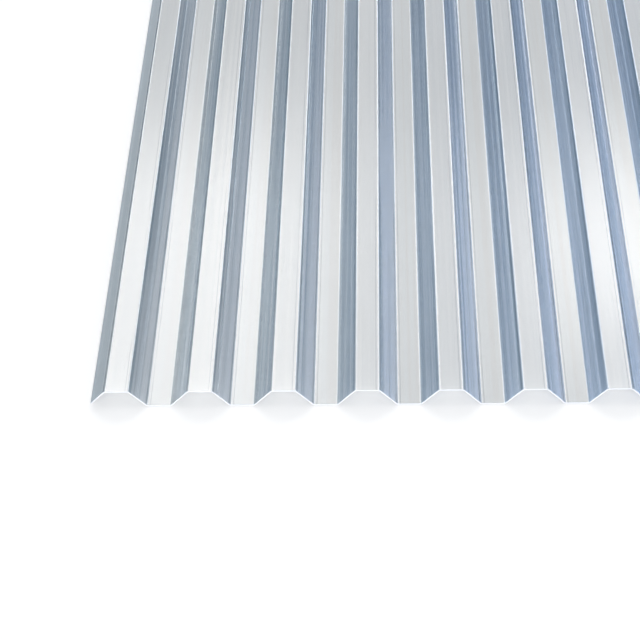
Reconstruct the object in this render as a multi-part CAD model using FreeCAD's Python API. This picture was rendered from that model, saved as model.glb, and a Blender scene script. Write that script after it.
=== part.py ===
"""Trapezoidal PVC roofing sheet, profile 76/18, in FreeCAD.

The sheet is one extruded piece: a straight run of flat-topped ribs with one wall thickness all over.
X runs across the ribs, Y along them and Z up. The origin lies under the middle of the sheet, on the
level surface that its valleys rest on. Lengths are in millimetres and angles in radians.
"""

import FreeCAD
import Part

import math
import os

# Driving dimensions. The profile's widths are measured on its mid-line, corner to corner.
SHEET_LENGTH = 2000.0    # along the ribs
RIB_COUNT = 17           # crests across the sheet
PITCH = 76.0             # from one crest to the next
PROFILE_HEIGHT = 18.0    # from the underside of the valleys to the top of the crests
CREST_WIDTH = 22.0       # flat top of a rib
VALLEY_WIDTH = 22.0      # flat bottom between two ribs
THICKNESS = 1.2          # wall of the sheet
BEND_RADIUS = 3.0        # inside of every bend
EDGE_LIFT = 3.1          # how far above the valleys the two side edges stop on their slope

# Sizes that follow from them.
MID_RADIUS = BEND_RADIUS + THICKNESS / 2
RISE = PROFILE_HEIGHT - THICKNESS
SLOPE_RUN = (PITCH - CREST_WIDTH - VALLEY_WIDTH) / 2
VALLEY_Z = THICKNESS / 2
CREST_Z = VALLEY_Z + RISE


def section_point(x, z):
    """A point of the cross-section, which lies at the sheet's near end."""
    return FreeCAD.Vector(x, -SHEET_LENGTH / 2, z)


def mid_line_corners():
    """Corners of the profile's mid-line, from the left side edge to the right one."""
    half_crest = CREST_WIDTH / 2
    foot = half_crest + SLOPE_RUN
    edge = half_crest + SLOPE_RUN * (1 - EDGE_LIFT / RISE)
    first_rib = -(RIB_COUNT - 1) * PITCH / 2
    last_rib = -first_rib
    corners = [section_point(first_rib - edge, VALLEY_Z + EDGE_LIFT)]
    for rib in range(RIB_COUNT):
        centre = first_rib + rib * PITCH
        if rib > 0:
            corners.append(section_point(centre - foot, VALLEY_Z))
        corners.append(section_point(centre - half_crest, CREST_Z))
        corners.append(section_point(centre + half_crest, CREST_Z))
        if rib < RIB_COUNT - 1:
            corners.append(section_point(centre + foot, VALLEY_Z))
    corners.append(section_point(last_rib + edge, VALLEY_Z + EDGE_LIFT))
    return corners


def direction(start, end):
    """Unit vector from one point of the section to another."""
    return (end - start).normalize()


def upward_normal(way):
    """Unit vector square to a left-to-right direction of the section, on the sheet's upper side."""
    return FreeCAD.Vector(-way.z, 0, way.x)


def bend_arc(before, corner, after, offset):
    """The round bend at one corner, on the face that lies offset above the mid-line."""
    way_in = direction(before, corner)
    way_out = direction(corner, after)
    half_turn = way_in.getAngle(way_out) / 2
    setback = MID_RADIUS * math.tan(half_turn)
    to_centre = (way_out - way_in).normalize()
    centre = corner + to_centre * (MID_RADIUS / math.cos(half_turn))
    centre_side = math.copysign(1.0, to_centre.z)
    start = corner - way_in * setback + upward_normal(way_in) * offset
    middle = centre - to_centre * (MID_RADIUS - centre_side * offset)
    end = corner + way_out * setback + upward_normal(way_out) * offset
    return start, middle, end


def face_edges(corners, offset):
    """Edges of one face in section: flats and bends in turn, from the left edge to the right one."""
    edges = []
    flat_start = corners[0] + upward_normal(direction(corners[0], corners[1])) * offset
    for before, corner, after in zip(corners, corners[1:], corners[2:]):
        start, middle, end = bend_arc(before, corner, after, offset)
        edges.append(Part.LineSegment(flat_start, start).toShape())
        edges.append(Part.Arc(start, middle, end).toShape())
        flat_start = end
    last = corners[-1] + upward_normal(direction(corners[-2], corners[-1])) * offset
    edges.append(Part.LineSegment(flat_start, last).toShape())
    return edges


def cut_line(upper_vertex, lower_vertex):
    """The narrow cut at one side edge, square to the slope, between the two faces."""
    return Part.makeLine(upper_vertex.Point, lower_vertex.Point)


def section():
    """The closed cross-section of the sheet."""
    corners = mid_line_corners()
    upper = face_edges(corners, THICKNESS / 2)
    lower = face_edges(corners, -THICKNESS / 2)
    left_cut = cut_line(upper[0].Vertexes[0], lower[0].Vertexes[0])
    right_cut = cut_line(upper[-1].Vertexes[-1], lower[-1].Vertexes[-1])
    outline = Part.__sortEdges__(upper + [right_cut] + lower + [left_cut])
    return Part.Face(Part.Wire(outline))


def trapezoidal_sheet():
    """The whole sheet: its section run along the ribs."""
    return section().extrude(FreeCAD.Vector(0, SHEET_LENGTH, 0))


def main():
    """Write the sheet to its STEP file and print its main measures."""
    os.makedirs("parts", exist_ok=True)
    sheet = trapezoidal_sheet()
    sheet.exportStep("parts/trapezoidal_sheet.step")
    box = sheet.BoundBox
    print(f"trapezoidal_sheet: {box.XLength:.1f} x {box.YLength:.1f} x {box.ZLength:.1f} mm,"
          f" lowest point z = {box.ZMin:.3f}, volume {sheet.Volume / 1000:.1f} cm3,"
          f" valid {sheet.isValid()}, solids {len(sheet.Solids)}")


main()
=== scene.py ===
"""Looks of a clear, slightly blue PVC trapezoidal roofing sheet that lies on a pale studio floor.

Everything is in metres, in the sheet's own frame: X across the ribs, Y along them, Z up.
"""

import logging
import math
from dataclasses import dataclass, field
from enum import Enum
from typing import Any

import bpy
from mathutils import Matrix, Vector


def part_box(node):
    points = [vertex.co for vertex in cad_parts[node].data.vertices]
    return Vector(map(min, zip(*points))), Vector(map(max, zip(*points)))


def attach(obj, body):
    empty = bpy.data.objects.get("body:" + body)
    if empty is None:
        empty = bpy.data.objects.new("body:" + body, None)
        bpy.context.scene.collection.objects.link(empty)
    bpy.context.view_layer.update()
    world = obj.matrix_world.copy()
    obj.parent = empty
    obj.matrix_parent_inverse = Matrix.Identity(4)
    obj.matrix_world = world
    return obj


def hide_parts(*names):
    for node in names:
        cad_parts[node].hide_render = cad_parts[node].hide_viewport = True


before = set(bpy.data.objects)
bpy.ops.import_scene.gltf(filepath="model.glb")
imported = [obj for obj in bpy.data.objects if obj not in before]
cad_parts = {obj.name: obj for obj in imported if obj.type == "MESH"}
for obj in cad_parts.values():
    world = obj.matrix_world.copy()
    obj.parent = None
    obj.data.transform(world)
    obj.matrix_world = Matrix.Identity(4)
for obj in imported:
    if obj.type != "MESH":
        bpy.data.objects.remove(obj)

SHEET_NODE = "trapezoidal_sheet"
SHEET_SLOT = "clear_pvc"
ROOT_BODY = "root"
UNROLLED = "unrolled"
LEAN = "lean"
CUT = "cut"
RIB_CORNERS = 4.0
SAME_CORNER = 0.25
WHITE = (1.0, 1.0, 1.0)
WARM_WHITE = (1.0, 0.97, 0.94)
PVC_REFRACTION = 1.54

Colour = tuple[float, float, float]
Pair = tuple[float, float]
log = logging.getLogger("trapezoidal_sheet")


class Hand(Enum):
    """The two sides of the sheet, as seen from its near end."""

    LEFT = -1
    RIGHT = 1


# --------------------------------------------------------------------------------------------
# Node trees


class NodeGraph:
    """Short calls for adding nodes to a node tree and joining them."""

    def __init__(self, tree: bpy.types.NodeTree) -> None:
        """Start on a tree, emptied of its nodes.

        Args:
            tree: a material's, a world's or a Geometry Nodes tree.
        """
        self.tree = tree
        tree.nodes.clear()

    def add(self, kind: str, **settings: Any) -> bpy.types.Node:
        """Add one node.

        Args:
            kind: the node's type name.
            settings: the node's own properties.

        Returns:
            The new node.
        """
        node = self.tree.nodes.new(kind)
        for name, value in settings.items():
            setattr(node, name, value)
        return node

    def feed(self, node: bpy.types.Node, **inputs: Any) -> bpy.types.Node:
        """Set or join a node's inputs, named with underscores for spaces.

        Args:
            node: the node to feed.
            inputs: for each input a socket to join, or a plain value.

        Returns:
            The same node.
        """
        for name, value in inputs.items():
            self.plug(node.inputs[name.replace("_", " ")], value)
        return node

    def plug(self, socket: bpy.types.NodeSocket, value: Any) -> None:
        """Join a socket to another one, or give it a plain value."""
        if isinstance(value, bpy.types.NodeSocket):
            self.tree.links.new(value, socket)
        elif isinstance(value, tuple) and len(value) == 3 and socket.type == "RGBA":
            socket.default_value = (*value, 1.0)
        else:
            socket.default_value = value

    def math(self, operation: str, *terms: Any) -> bpy.types.NodeSocket:
        """One arithmetic step.

        Args:
            operation: the Math node's operation.
            terms: its inputs in order, as sockets or numbers.

        Returns:
            The result's socket.
        """
        node = self.add("ShaderNodeMath", operation=operation)
        for socket, term in zip(node.inputs, terms):
            self.plug(socket, term)
        return node.outputs[0]

    def step(self, value: Any, start: float, end: float) -> bpy.types.NodeSocket:
        """A soft step from 0 at start to 1 at end, which may also lie below start."""
        ramp = self.add("ShaderNodeMapRange", interpolation_type="SMOOTHSTEP")
        self.feed(ramp, Value=value, From_Min=start, From_Max=end)
        return ramp.outputs["Result"]

    def blend(self, share: Any, first: Any, second: Any) -> bpy.types.NodeSocket:
        """A colour that goes from first to second as share goes from 0 to 1."""
        node = self.add("ShaderNodeMix", data_type="RGBA")
        for index, value in ((0, share), (6, first), (7, second)):
            self.plug(node.inputs[index], value)
        return node.outputs[2]


# --------------------------------------------------------------------------------------------
# Finishes


def new_material(name: str) -> tuple[bpy.types.Material, NodeGraph]:
    """An empty material and the graph of its nodes."""
    material = bpy.data.materials.new(name)
    material.use_nodes = True
    return material, NodeGraph(material.node_tree)


@dataclass(frozen=True)
class PaintedShadeLine:
    """One line of painted shade along every rib: a dark reflection line painted into the tint."""

    side: Hand
    reach: float
    half_width: float
    depth: float


@dataclass(frozen=True)
class ClearPvc:
    """Glossy clear PVC with a blue tint, painted shade that deepens the slopes, and painted shade
    lines along the ribs.

    Two tints together are for the left and the right slopes. Reaches are distances from the middle
    of the nearest rib. Limits, reaches and insets in pairs say where a soft step starts and ends,
    and a drift's pair is its length and where it starts.
    """

    pitch: float
    side_edge: float
    crest_tint: Colour = (0.80, 0.807, 0.803)
    valley_tint: Colour = (0.765, 0.79, 0.802)
    flat_streak_tint: Colour = (0.755, 0.767, 0.77)
    # Painted shade and light: the slopes' tints are deeper than the flats', and the right slopes'
    # streaks are painted lighter than the left ones'.
    slope_shade_tints: tuple[Colour, Colour] = ((0.42, 0.50, 0.56), (0.42, 0.50, 0.575))
    slope_streak_shade_tints: tuple[Colour, Colour] = ((0.62, 0.68, 0.72), (0.69, 0.74, 0.795))
    # Painted shade: the tints of the dark lines along the ribs, on the slopes and on the flats.
    line_shade_tint: Colour = (0.18, 0.27, 0.34)
    flat_line_shade_tint: Colour = (0.38, 0.42, 0.46)
    blue_drift: Colour = (0.85, 0.95, 1.13)
    # Painted shade: the slopes darken in a slow wave along the ribs, away from the near end.
    shade_tint_along: Colour = (0.84, 0.87, 0.90)
    drift_across: Pair = (1.3, -0.30)
    shade_wave_along: Pair = (1.7, -0.62)
    refraction: float = PVC_REFRACTION
    roughness: float = 0.05
    layer_roughness: float = 0.6

    fine_spacing: float = 0.0011
    fine_stretch: float = 900.0
    fine_weight: float = 0.6
    streak_spacing: float = 0.0042
    streak_stretch: float = 300.0
    streak_weight: float = 1.4
    rib_stretch: float = 12.0
    rib_weight: float = 0.9
    rib_shift: float = 575.7
    ripple_spacing: float = 0.018
    ripple_stretch: float = 40.0
    line_depth: float = 0.000002
    ripple_depth: float = 0.000003

    tone_limits: Pair = (1.05, 1.85)
    steep_limits: Pair = (0.05, 0.6)
    hand_limits: Pair = (-0.001, 0.001)
    valley_reach: Pair = (0.018, 0.020)
    foot_reach: Pair = (0.0192, 0.0220)
    foot_light: float = 0.44
    # Painted shade: the sheet is darker in a band along each side edge.
    edge_inset: Pair = (0.016, 0.010)
    edge_shade: float = 0.60
    vary_share: float = 0.4
    vary_stretch: float = 8.0
    vary_limits: Pair = (0.2, 0.55)
    line_core: float = 0.4
    # Painted shade: dark reflection lines along every rib, at these reaches from its middle.
    painted_shade_lines: tuple[PaintedShadeLine, ...] = (
        PaintedShadeLine(Hand.LEFT, 0.0124, 0.0009, 0.60),
        PaintedShadeLine(Hand.RIGHT, 0.0079, 0.0006, 0.40),
        PaintedShadeLine(Hand.RIGHT, 0.0121, 0.0009, 0.60),
        PaintedShadeLine(Hand.RIGHT, 0.0155, 0.0005, 0.30),
        PaintedShadeLine(Hand.RIGHT, 0.0258, 0.0006, 0.60),
        PaintedShadeLine(Hand.RIGHT, 0.0299, 0.0006, 0.36),
    )

    def lines(self, graph: NodeGraph, spacing: float, stretch: float, detail: float,
              shift: float = 0.0) -> bpy.types.NodeSocket:
        """Soft lines that run along the ribs, as a number from 0 to 1.

        Args:
            graph: the material's graph.
            spacing: the usual distance between two lines, across the sheet.
            stretch: how many times longer than wide the lines are.
            detail: how many finer layers are added.
            shift: how far the pattern is moved across the sheet, in spacings.

        Returns:
            The lines' socket.
        """
        flat = graph.add("ShaderNodeAttribute", attribute_name=UNROLLED)
        scale = graph.add("ShaderNodeMapping")
        graph.feed(scale, Vector=flat.outputs["Vector"], Location=(shift, 0.0, 0.0),
                   Scale=(1 / spacing, 1 / (spacing * stretch), 1.0))
        noise = graph.add("ShaderNodeTexNoise", noise_dimensions="2D")
        graph.feed(noise, Vector=scale.outputs["Vector"], Scale=1.0, Detail=detail,
                   Roughness=self.layer_roughness)
        return noise.outputs["Fac"]

    def colour(self, graph: NodeGraph) -> bpy.types.NodeSocket:
        """The tint all over the sheet: flats, slopes, their streaks, and painted shade in dark
        lines along the ribs and at the side edges.

        Args:
            graph: the material's graph.

        Returns:
            The colour's socket.
        """
        here = graph.add("ShaderNodeTexCoord").outputs["Object"]
        place = graph.feed(graph.add("ShaderNodeSeparateXYZ"), Vector=here)
        half_pitch = self.pitch / 2
        from_rib = graph.math("WRAP", place.outputs["X"], half_pitch, -half_pitch)
        reach = graph.math("ABSOLUTE", from_rib)
        to_right = graph.step(from_rib, *self.hand_limits)
        lean = graph.add("ShaderNodeAttribute", attribute_name=LEAN).outputs["Fac"]
        steep = graph.step(graph.math("ABSOLUTE", lean), *self.steep_limits)

        tone = self.tone(graph, reach, to_right)
        slope = graph.blend(tone, graph.blend(to_right, *self.slope_shade_tints),
                            graph.blend(to_right, *self.slope_streak_shade_tints))
        # The wave along Y is painted shade that darkens the slopes away from the near end; the wave
        # across only shifts the hue.
        for axis, (length, start), tint in (("X", self.drift_across, self.blue_drift),
                                            ("Y", self.shade_wave_along, self.shade_tint_along)):
            slope = self.drift(graph, slope, place.outputs[axis], length, start, tint)
        flat = graph.blend(graph.step(reach, *self.valley_reach), self.crest_tint, self.valley_tint)
        flat = graph.blend(tone, self.flat_streak_tint, flat)

        # Painted shade: dark lines along the ribs and darker bands at the side edges.
        depth = self.painted_line_shade(graph, place.outputs["X"], reach, to_right)
        # Painted shade: the steep slopes take deeper tints than the flats.
        return graph.blend(steep, graph.blend(depth, flat, self.flat_line_shade_tint),
                           graph.blend(depth, slope, self.line_shade_tint))

    def tone(self, graph: NodeGraph, reach: Any, to_right: Any) -> bpy.types.NodeSocket:
        """How light each streak is, from 0 to 1, with lighter feet on the right slopes.

        Args:
            graph: the material's graph.
            reach: the distance from the middle of the nearest rib.
            to_right: 1 on the right of that middle and 0 on its left.

        Returns:
            The tone's socket.
        """
        fine = self.lines(graph, self.fine_spacing, self.fine_stretch, 1.0)
        streaks = self.lines(graph, self.streak_spacing, self.streak_stretch, 2.0)
        ribs = self.lines(graph, self.pitch, self.rib_stretch, 0.0, self.rib_shift)
        tone = graph.math("MULTIPLY_ADD", fine, self.fine_weight,
                          graph.math("MULTIPLY", streaks, self.streak_weight))
        tone = graph.math("MULTIPLY_ADD", ribs, self.rib_weight, tone)
        foot = graph.math("MULTIPLY", graph.step(reach, *self.foot_reach), to_right)
        return graph.step(graph.math("MULTIPLY_ADD", foot, self.foot_light, tone),
                          *self.tone_limits)

    def painted_line_shade(self, graph: NodeGraph, across: Any, reach: Any,
                    to_right: Any) -> bpy.types.NodeSocket:
        """How strong the painted shade is, from 0 to 1: dark lines along the ribs and darker bands
        at the side edges.

        Args:
            graph: the material's graph.
            across: the place across the sheet.
            reach: the distance from the middle of the nearest rib.
            to_right: 1 on the right of that middle and 0 on its left.

        Returns:
            The painted shade's socket.
        """
        patches = self.lines(graph, self.pitch * self.vary_share, self.vary_stretch, 1.0)
        vary = graph.step(patches, *self.vary_limits)
        # Painted shade bands along the side edges.
        start, end = (self.side_edge - inset for inset in self.edge_inset)
        band = graph.step(graph.math("ABSOLUTE", across), start, end)
        depth = graph.math("MULTIPLY", band, self.edge_shade)
        sides = {Hand.LEFT: graph.math("SUBTRACT", 1.0, to_right), Hand.RIGHT: to_right}
        for line in self.painted_shade_lines:
            off = graph.math("ABSOLUTE", graph.math("SUBTRACT", reach, line.reach))
            here = graph.step(off, line.half_width, line.half_width * self.line_core)
            here = graph.math("MULTIPLY", here, sides[line.side])
            here = graph.math("MULTIPLY", here, line.depth)
            depth = graph.math("MAXIMUM", depth, graph.math("MULTIPLY", here, vary))
        return depth

    @staticmethod
    def drift(graph: NodeGraph, colour: Any, along: Any, length: float, start: float,
              tint: Colour) -> bpy.types.NodeSocket:
        """Let the colour drift slowly towards a tint of itself and back, once in a given length.

        Args:
            graph: the material's graph.
            colour: the colour to change.
            along: the coordinate that the drift follows.
            length: from one drift to the next.
            start: where the first one is half way up.
            tint: what the colour is multiplied by where the drift is full.

        Returns:
            The colour's socket.
        """
        turn = graph.math("MULTIPLY", graph.math("SUBTRACT", along, start), 2 * math.pi / length)
        share = graph.math("MULTIPLY_ADD", graph.math("SINE", turn), 0.5, 0.5)
        tinted = graph.add("ShaderNodeMix", data_type="RGBA", blend_type="MULTIPLY")
        for index, value in ((0, share), (6, colour), (7, tint)):
            graph.plug(tinted.inputs[index], value)
        return tinted.outputs[2]

    def material(self) -> bpy.types.Material:
        """Build the material.

        Returns:
            The finished material.
        """
        material, graph = new_material(SHEET_SLOT)
        waves = self.lines(graph, self.ripple_spacing, self.ripple_stretch, 1.0)
        ripple = graph.add("ShaderNodeBump")
        graph.feed(ripple, Height=waves, Distance=self.ripple_depth, Strength=1.0)
        streaks = self.lines(graph, self.streak_spacing, self.streak_stretch, 2.0)
        relief = graph.add("ShaderNodeBump")
        graph.feed(relief, Height=streaks, Distance=self.line_depth, Strength=1.0,
                   Normal=ripple.outputs["Normal"])
        plastic = graph.add("ShaderNodeBsdfPrincipled")
        graph.feed(plastic, Base_Color=self.colour(graph), Roughness=self.roughness,
                   IOR=self.refraction, Transmission_Weight=1.0, Normal=relief.outputs["Normal"])
        output = graph.add("ShaderNodeOutputMaterial")
        graph.feed(output, Surface=plastic.outputs["BSDF"])
        return material


@dataclass(frozen=True)
class SawnEdge:
    """The cut ends and side edges: matt, almost white, with faint saw marks."""

    colour: Colour = (0.93, 0.94, 0.99)
    mark_colour: Colour = (0.84, 0.87, 0.96)
    mark_spacing: float = 0.0012
    roughness: float = 0.45
    refraction: float = PVC_REFRACTION

    def material(self) -> bpy.types.Material:
        """Build the material.

        Returns:
            The finished material.
        """
        material, graph = new_material("sawn_edge")
        place = graph.add("ShaderNodeTexCoord")
        noise = graph.add("ShaderNodeTexNoise")
        graph.feed(noise, Vector=place.outputs["Object"], Scale=1 / self.mark_spacing,
                   Detail=2.0)
        colour = graph.blend(noise.outputs["Fac"], self.colour, self.mark_colour)
        plastic = graph.add("ShaderNodeBsdfPrincipled")
        graph.feed(plastic, Base_Color=colour, Roughness=self.roughness, IOR=self.refraction)
        output = graph.add("ShaderNodeOutputMaterial")
        graph.feed(output, Surface=plastic.outputs["BSDF"])
        return material


@dataclass(frozen=True)
class PaleFloor:
    """Matt white floor that reads as white where nothing shades it."""

    colour: Colour = (0.66, 0.66, 0.66)
    lift: float = 0.36

    def material(self) -> bpy.types.Material:
        """Build the material.

        Returns:
            The finished material.
        """
        material, graph = new_material("pale_floor")
        matt = graph.add("ShaderNodeBsdfDiffuse")
        graph.feed(matt, Color=self.colour)
        path = graph.add("ShaderNodeLightPath")
        seen = graph.math("MAXIMUM", path.outputs["Is Camera Ray"],
                          path.outputs["Is Glossy Ray"])
        seen = graph.math("MAXIMUM", seen, path.outputs["Is Transmission Ray"])
        glow = graph.add("ShaderNodeEmission")
        graph.feed(glow, Color=WHITE, Strength=graph.math("MULTIPLY", seen, self.lift))
        both = graph.add("ShaderNodeAddShader")
        graph.plug(both.inputs[0], matt.outputs["BSDF"])
        graph.plug(both.inputs[1], glow.outputs["Emission"])
        output = graph.add("ShaderNodeOutputMaterial")
        graph.feed(output, Surface=both.outputs["Shader"])
        return material


@dataclass(frozen=True)
class SoftLight:
    """One soft light far from the sheet: a patch of the surroundings with blurred sides.

    The angles are in degrees. The azimuth is 0 straight back from the near end and 90 to the
    right, and the elevation is the height over the floor.
    """

    azimuth: float
    elevation: float
    half_width: float
    half_height: float
    softness: float
    radiance: float
    colour: Colour = WHITE

    def strength(self, graph: NodeGraph, azimuth: Any, elevation: Any) -> bpy.types.NodeSocket:
        """How far a direction lies inside the light, from 0 to 1.

        Args:
            graph: the world's graph.
            azimuth: the direction's turn from straight back, in radians.
            elevation: its height over the floor, in radians.

        Returns:
            The share's socket.
        """
        blur = math.radians(self.softness)
        turn = graph.math("SUBTRACT", azimuth, math.radians(self.azimuth))
        turn = graph.math("WRAP", turn, math.pi, -math.pi)
        rise = graph.math("SUBTRACT", elevation, math.radians(self.elevation))
        shares = []
        for off, half_angle in ((turn, self.half_width), (rise, self.half_height)):
            half = math.radians(half_angle)
            shares.append(graph.step(graph.math("ABSOLUTE", off), half + blur, half - blur))
        return graph.math("MULTIPLY", *shares)


@dataclass(frozen=True)
class StudioLight:
    """All the light round the sheet: a dim ground tone and the soft lights on it.

    The flats mirror the lights at the back, the bends mirror those beside them, and the rest light
    the floor.
    """

    horizon: Colour = (0.18, 0.21, 0.25)
    zenith: Colour = (0.17, 0.18, 0.20)
    back: tuple[SoftLight, ...] = (
        SoftLight(0.0, 35.0, 12.5, 15.0, softness=3.0, radiance=1.1),
        SoftLight(0.0, 44.0, 12.5, 9.0, softness=2.5, radiance=1.0),
        SoftLight(-9.0, 43.0, 6.8, 9.5, softness=3.0, radiance=2.1, colour=WARM_WHITE),
        SoftLight(10.5, 37.0, 5.0, 2.6, softness=3.0, radiance=2.8, colour=WARM_WHITE),
    )
    beside_back: tuple[SoftLight, ...] = (
        SoftLight(-21.0, 32.0, 9.0, 11.0, softness=3.0, radiance=4.8),
        SoftLight(19.5, 32.0, 7.5, 11.0, softness=3.0, radiance=5.2),
    )
    around: tuple[SoftLight, ...] = (
        SoftLight(-72.0, 32.0, 20.0, 14.0, softness=5.0, radiance=1.2),
        SoftLight(72.0, 32.0, 20.0, 14.0, softness=5.0, radiance=1.2),
        SoftLight(180.0, 30.0, 32.0, 17.0, softness=5.0, radiance=4.0),
        SoftLight(-95.0, 32.0, 25.0, 14.0, softness=6.0, radiance=0.7),
        SoftLight(95.0, 32.0, 25.0, 14.0, softness=6.0, radiance=0.7),
        SoftLight(0.0, 90.0, 200.0, 16.0, softness=5.0, radiance=0.7),
        SoftLight(180.0, 10.0, 60.0, 9.0, softness=4.0, radiance=0.9),
    )

    def world(self) -> bpy.types.World:
        """Build the world's shader.

        Returns:
            The world.
        """
        world = bpy.data.worlds.new("studio")
        world.use_nodes = True
        graph = NodeGraph(world.node_tree)
        sky = graph.add("ShaderNodeTexCoord").outputs["Generated"]
        way = graph.feed(graph.add("ShaderNodeSeparateXYZ"), Vector=sky)
        azimuth = graph.math("ARCTAN2", way.outputs["X"], way.outputs["Y"])
        elevation = graph.math("ARCSINE", way.outputs["Z"])
        total = graph.blend(graph.math("MAXIMUM", way.outputs["Z"], 0.0), self.horizon,
                            self.zenith)
        for light in self.back + self.beside_back + self.around:
            share = light.strength(graph, azimuth, elevation)
            add = graph.add("ShaderNodeVectorMath", operation="MULTIPLY_ADD")
            graph.plug(add.inputs[0], share)
            graph.plug(add.inputs[1], tuple(light.radiance * part for part in light.colour))
            graph.plug(add.inputs[2], total)
            total = add.outputs[0]
        path = graph.add("ShaderNodeLightPath")
        lit = graph.feed(graph.add("ShaderNodeBackground"), Color=total, Strength=1.0)
        white = graph.feed(graph.add("ShaderNodeBackground"), Color=WHITE, Strength=1.0)
        choice = graph.add("ShaderNodeMixShader")
        graph.plug(choice.inputs[0], path.outputs["Is Camera Ray"])
        graph.plug(choice.inputs[1], lit.outputs[0])
        graph.plug(choice.inputs[2], white.outputs[0])
        graph.feed(graph.add("ShaderNodeOutputWorld"), Surface=choice.outputs[0])
        return world


# --------------------------------------------------------------------------------------------
# The sheet


@dataclass
class TrapezoidalSheet:
    """The ribbed sheet: sizes of its profile, the tree that shapes it and the finishes on it."""

    length: float
    height: float
    side_edge: float
    rib_count: int = 17
    pitch: float = 0.076
    crest_width: float = 0.022
    valley_width: float = 0.022
    thickness: float = 0.0012
    bend_radius: float = 0.003
    edge_lift: float = 0.0031
    bend_points: int = 12
    length_steps: int = 40
    warp_share: float = 0.02
    warp_size: float = 0.35
    merge_distance: float = 0.000002
    sharp_angle: float = 40.0
    cuts: SawnEdge = field(default_factory=SawnEdge)

    def inputs(self) -> dict[str, tuple[str, Any]]:
        """The tree's named inputs, with the finishes made new.

        Returns:
            For each input its socket type and its value.
        """
        number, whole, finish = "NodeSocketFloat", "NodeSocketInt", "NodeSocketMaterial"
        return {
            "Length": (number, self.length),
            "Height": (number, self.height),
            "Rib Count": (whole, self.rib_count),
            "Pitch": (number, self.pitch),
            "Crest Width": (number, self.crest_width),
            "Valley Width": (number, self.valley_width),
            "Thickness": (number, self.thickness),
            "Bend Radius": (number, self.bend_radius),
            "Edge Lift": (number, self.edge_lift),
            "Bend Points": (whole, self.bend_points),
            "Length Steps": (whole, self.length_steps),
            "Warp Share": (number, self.warp_share),
            "Warp Size": (number, self.warp_size),
            "Face Finish": (finish, ClearPvc(self.pitch, self.side_edge).material()),
            "Cut Finish": (finish, self.cuts.material()),
        }

    def mid_line(self, graph: NodeGraph,
                 size: dict[str, bpy.types.NodeSocket]) -> bpy.types.NodeSocket:
        """The profile's mid-line as a curve of flats and round bends, four corners to a rib.

        Args:
            graph: the tree's graph.
            size: the tree's inputs by name.

        Returns:
            The curve's socket.
        """
        math_ = graph.math
        rise = math_("SUBTRACT", size["Height"], size["Thickness"])
        flats = math_("ADD", size["Crest Width"], size["Valley Width"])
        slope_run = math_("DIVIDE", math_("SUBTRACT", size["Pitch"], flats), 2.0)
        half_crest = math_("DIVIDE", size["Crest Width"], 2.0)
        foot = math_("ADD", half_crest, slope_run)
        edge_share = math_("SUBTRACT", 1.0, math_("DIVIDE", size["Edge Lift"], rise))
        edge = math_("MULTIPLY_ADD", slope_run, edge_share, half_crest)

        # A rib's corners from left to right are foot, crest, crest, foot: -1.5, -0.5, 0.5, 1.5.
        index = graph.add("GeometryNodeInputIndex").outputs[0]
        rib = math_("FLOOR", math_("DIVIDE", index, RIB_CORNERS))
        corner = math_("SUBTRACT", index, math_("MULTIPLY", rib, RIB_CORNERS))
        corner = math_("SUBTRACT", corner, (RIB_CORNERS - 1) / 2)
        side = math_("SIGN", corner)
        on_crest = math_("LESS_THAN", math_("ABSOLUTE", corner), 1.0)
        count = math_("MULTIPLY", size["Rib Count"], RIB_CORNERS)
        middle = math_("DIVIDE", math_("SUBTRACT", count, 1.0), 2.0)
        from_middle = math_("ABSOLUTE", math_("SUBTRACT", index, middle))
        at_edge = math_("COMPARE", from_middle, middle, SAME_CORNER)

        low_reach = math_("MULTIPLY_ADD", at_edge, math_("SUBTRACT", edge, foot), foot)
        reach = math_("MULTIPLY_ADD", on_crest, math_("SUBTRACT", half_crest, low_reach), low_reach)
        mid_rib = math_("DIVIDE", math_("SUBTRACT", size["Rib Count"], 1.0), 2.0)
        centre = math_("MULTIPLY", math_("SUBTRACT", rib, mid_rib), size["Pitch"])
        across = math_("MULTIPLY_ADD", side, reach, centre)
        up = math_("MULTIPLY_ADD", on_crest, rise, math_("DIVIDE", size["Thickness"], 2.0))
        up = math_("MULTIPLY_ADD", at_edge, size["Edge Lift"], up)
        place = graph.feed(graph.add("ShaderNodeCombineXYZ"), X=across, Z=up)

        points = graph.feed(graph.add("GeometryNodePoints"), Count=count, Position=place.outputs[0])
        corners = graph.feed(graph.add("GeometryNodePointsToCurves"), Points=points.outputs[0])
        radius = math_("MULTIPLY_ADD", size["Thickness"], 0.5, size["Bend Radius"])
        bends = graph.add("GeometryNodeFilletCurve", mode="POLY")
        graph.feed(bends, Curve=corners.outputs[0], Count=size["Bend Points"], Radius=radius)
        return bends.outputs[0]

    def mid_surface(self, graph: NodeGraph, size: dict[str, bpy.types.NodeSocket],
                    curve: bpy.types.NodeSocket) -> bpy.types.NodeSocket:
        """The mid-surface: a grid whose columns take the mid-line's points, slightly warped.

        Args:
            graph: the tree's graph.
            size: the tree's inputs by name.
            curve: the mid-line.

        Returns:
            The mesh's socket.
        """
        math_ = graph.math
        domain = graph.add("GeometryNodeAttributeDomainSize", component="CURVE")
        graph.feed(domain, Geometry=curve)
        rows = math_("ADD", size["Length Steps"], 1.0)
        grid = graph.add("GeometryNodeMeshGrid")
        graph.feed(grid, Size_X=1.0, Size_Y=size["Length"],
                   Vertices_X=domain.outputs["Point Count"], Vertices_Y=rows)
        index = graph.add("GeometryNodeInputIndex").outputs[0]
        column = math_("FLOOR", math_("DIVIDE", index, rows))
        place = graph.add("GeometryNodeInputPosition").outputs[0]
        on_line = graph.add("GeometryNodeSampleIndex", data_type="FLOAT_VECTOR")
        graph.feed(on_line, Geometry=curve, Value=place, Index=column)
        line = graph.feed(graph.add("ShaderNodeSeparateXYZ"), Vector=on_line.outputs[0])
        here = graph.feed(graph.add("ShaderNodeSeparateXYZ"), Vector=place)

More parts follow.
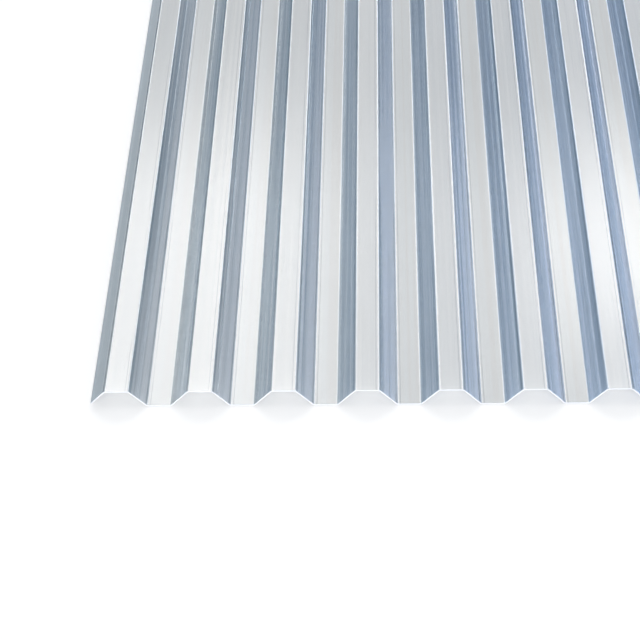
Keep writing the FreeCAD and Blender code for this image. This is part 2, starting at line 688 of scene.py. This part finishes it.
        across, along = line.outputs["X"], here.outputs["Y"]
        ground = graph.feed(graph.add("ShaderNodeCombineXYZ"), X=across, Y=along)
        noise = graph.add("ShaderNodeTexNoise", noise_dimensions="2D")
        graph.feed(noise, Vector=ground.outputs[0],
                   Scale=math_("DIVIDE", 1.0, size["Warp Size"]), Detail=1.0)
        sink = math_("MULTIPLY", noise.outputs["Fac"], size["Warp Share"])
        keep = math_("SUBTRACT", 1.0, sink)
        base = math_("DIVIDE", size["Thickness"], 2.0)
        height = math_("MULTIPLY_ADD", math_("SUBTRACT", line.outputs["Z"], base), keep, base)
        target = graph.feed(graph.add("ShaderNodeCombineXYZ"), X=across, Y=along, Z=height)

        walked = graph.add("GeometryNodeSampleIndex", data_type="FLOAT")
        distance = graph.add("GeometryNodeSplineParameter").outputs["Length"]
        graph.feed(walked, Geometry=curve, Value=distance, Index=column)
        unrolled = graph.feed(graph.add("ShaderNodeCombineXYZ"), X=walked.outputs[0], Y=along)
        marked = graph.add("GeometryNodeStoreNamedAttribute", data_type="FLOAT_VECTOR",
                           domain="POINT")
        graph.feed(marked, Geometry=grid.outputs["Mesh"], Name=UNROLLED,
                   Value=unrolled.outputs[0])
        shaped = graph.add("GeometryNodeSetPosition")
        graph.feed(shaped, Geometry=marked.outputs[0], Position=target.outputs[0])
        return shaped.outputs[0]

    def wall(self, graph: NodeGraph, size: dict[str, bpy.types.NodeSocket],
             middle: bpy.types.NodeSocket) -> tuple[bpy.types.NodeSocket, bpy.types.NodeSocket]:
        """The closed wall: half its thickness to each side of the mid-surface.

        Args:
            graph: the tree's graph.
            size: the tree's inputs by name.
            middle: the mid-surface.

        Returns:
            The closed mesh, and the choice of its cut faces.
        """
        normal = graph.add("GeometryNodeInputNormal").outputs[0]
        side = graph.feed(graph.add("ShaderNodeSeparateXYZ"), Vector=normal)
        leaning = graph.add("GeometryNodeStoreNamedAttribute", data_type="FLOAT", domain="POINT")
        graph.feed(leaning, Geometry=middle, Name=LEAN, Value=side.outputs["X"])
        half_wall = graph.math("MULTIPLY", size["Thickness"], -0.5)
        half_down = graph.add("ShaderNodeVectorMath", operation="SCALE")
        graph.feed(half_down, Vector=normal, Scale=half_wall)
        lower = graph.add("GeometryNodeSetPosition")
        graph.feed(lower, Geometry=leaning.outputs[0], Offset=half_down.outputs[0])
        upper = graph.add("GeometryNodeExtrudeMesh", mode="FACES")
        graph.feed(upper, Mesh=lower.outputs[0], Offset_Scale=size["Thickness"], Individual=False)
        cut = graph.add("GeometryNodeStoreNamedAttribute", data_type="BOOLEAN", domain="FACE")
        graph.feed(cut, Geometry=upper.outputs["Mesh"], Name=CUT, Value=upper.outputs["Side"])
        underside = graph.feed(graph.add("GeometryNodeFlipFaces"), Mesh=lower.outputs[0])
        joined = graph.add("GeometryNodeJoinGeometry")
        graph.plug(joined.inputs[0], cut.outputs[0])
        graph.plug(joined.inputs[0], underside.outputs[0])
        closed = graph.add("GeometryNodeMergeByDistance")
        graph.feed(closed, Geometry=joined.outputs[0], Distance=self.merge_distance)
        chosen = graph.add("GeometryNodeInputNamedAttribute", data_type="BOOLEAN")
        graph.feed(chosen, Name=CUT)
        return closed.outputs[0], chosen.outputs[0]

    def tree(self, inputs: dict[str, tuple[str, Any]]) -> bpy.types.NodeTree:
        """The Geometry Nodes tree that makes the sheet from its named sizes.

        Args:
            inputs: for each named input its socket type and its value.

        Returns:
            The tree.
        """
        tree = bpy.data.node_groups.new("trapezoidal_sheet_shape", "GeometryNodeTree")
        for name, (kind, _) in inputs.items():
            tree.interface.new_socket(name, in_out="INPUT", socket_type=kind)
        tree.interface.new_socket("Geometry", in_out="OUTPUT", socket_type="NodeSocketGeometry")
        graph = NodeGraph(tree)
        sockets = graph.add("NodeGroupInput").outputs
        size = {socket.name: socket for socket in sockets if socket.name}
        middle = self.mid_surface(graph, size, self.mid_line(graph, size))
        closed, is_cut = self.wall(graph, size, middle)
        smooth = graph.add("GeometryNodeSetShadeSmooth", domain="FACE")
        graph.feed(smooth, Geometry=closed)
        angle = graph.add("GeometryNodeInputMeshEdgeAngle").outputs["Unsigned Angle"]
        sharp = graph.add("GeometryNodeSetShadeSmooth", domain="EDGE")
        graph.feed(sharp, Geometry=smooth.outputs[0], Shade_Smooth=False,
                   Selection=graph.math("GREATER_THAN", angle, math.radians(self.sharp_angle)))
        real = graph.feed(graph.add("GeometryNodeRealizeInstances"), Geometry=sharp.outputs[0])
        faces = graph.feed(graph.add("GeometryNodeSetMaterial"), Geometry=real.outputs[0],
                           Material=size["Face Finish"])
        cuts = graph.feed(graph.add("GeometryNodeSetMaterial"), Geometry=faces.outputs[0],
                          Selection=is_cut, Material=size["Cut Finish"])
        graph.plug(graph.add("NodeGroupOutput").inputs[0], cuts.outputs[0])
        return tree

    def build(self) -> bpy.types.Object:
        """Make the sheet as one plain mesh, in place, and set it on its body.

        Returns:
            The sheet's object.
        """
        sheet = bpy.data.objects.new("pvc_sheet", bpy.data.meshes.new("pvc_sheet_start"))
        bpy.context.scene.collection.objects.link(sheet)
        inputs = self.inputs()
        shape = sheet.modifiers.new("shape", "NODES")
        shape.node_group = self.tree(inputs)
        for item in shape.node_group.interface.items_tree:
            if item.in_out == "INPUT":
                shape[item.identifier] = inputs[item.name][1]
        weigh = sheet.modifiers.new("flat faces stay flat", "WEIGHTED_NORMAL")
        weigh.keep_sharp = True
        depsgraph = bpy.context.evaluated_depsgraph_get()
        mesh = bpy.data.meshes.new_from_object(
            sheet.evaluated_get(depsgraph), preserve_all_data_layers=True, depsgraph=depsgraph)
        sheet.modifiers.clear()
        sheet.data = mesh
        mesh.name = "pvc_sheet"
        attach(sheet, ROOT_BODY)
        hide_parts(SHEET_NODE)
        return sheet


# --------------------------------------------------------------------------------------------
# The studio


@dataclass
class Studio:
    """Floor, soft light and camera around the sheet.

    The camera's place is measured from the sheet's near left corner on the floor, and its angles
    are in degrees.
    """

    corner: Vector
    floor_size: float = 60.0
    floor_gap: float = 0.0003
    camera_across: float = 0.2675
    camera_back: float = 1.4439
    camera_height: float = 1.2809
    look_down: float = 39.257
    turn_right: float = -2.213
    roll: float = -1.844
    lens: float = 119.3
    far_limit: float = 200.0

    def floor(self) -> None:
        """Lay the floor just under the valleys."""
        half = self.floor_size / 2
        level = self.corner.z - self.floor_gap
        mesh = bpy.data.meshes.new("studio_floor")
        corners = [(x * half, y * half, level) for x, y in ((-1, -1), (1, -1), (1, 1), (-1, 1))]
        mesh.from_pydata(corners, [], [(0, 1, 2, 3)])
        mesh.materials.append(PaleFloor().material())
        floor = bpy.data.objects.new("studio_floor", mesh)
        bpy.context.scene.collection.objects.link(floor)

    def camera(self) -> None:
        """Set the camera up over the near left corner, looking along the ribs and down."""
        place = Vector((self.corner.x + self.camera_across, self.corner.y - self.camera_back,
                        self.camera_height))
        down, turn, roll = (math.radians(a) for a in (self.look_down, self.turn_right, self.roll))
        level = Vector((math.cos(turn), -math.sin(turn), 0.0))
        forward = Vector((math.sin(turn) * math.cos(down), math.cos(turn) * math.cos(down),
                          -math.sin(down)))
        above = level.cross(forward)
        right = level * math.cos(roll) + above * math.sin(roll)
        up = above * math.cos(roll) - level * math.sin(roll)
        facing = Matrix((right, up, -forward)).transposed().to_4x4()
        data = bpy.data.cameras.new("camera")
        data.lens = self.lens
        data.clip_end = self.far_limit
        camera = bpy.data.objects.new("camera", data)
        camera.matrix_world = Matrix.Translation(place) @ facing
        bpy.context.scene.collection.objects.link(camera)
        bpy.context.scene.camera = camera

    def build(self) -> None:
        """Put the whole studio in place."""
        self.floor()
        bpy.context.scene.world = StudioLight().world()
        self.camera()
        bpy.context.scene.view_settings.view_transform = "Standard"


def main() -> None:
    """Build the sheet and the studio, and log the sheet's face count."""
    logging.basicConfig(level=logging.INFO, format="%(name)s: %(message)s")
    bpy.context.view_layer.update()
    low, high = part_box(SHEET_NODE)
    size = high - low
    sheet = TrapezoidalSheet(length=size.y, height=size.z, side_edge=high.x).build()
    log.info("%s: %d faces", sheet.name, len(sheet.data.polygons))
    Studio(corner=low).build()


if __name__ == "__main__":
    main()
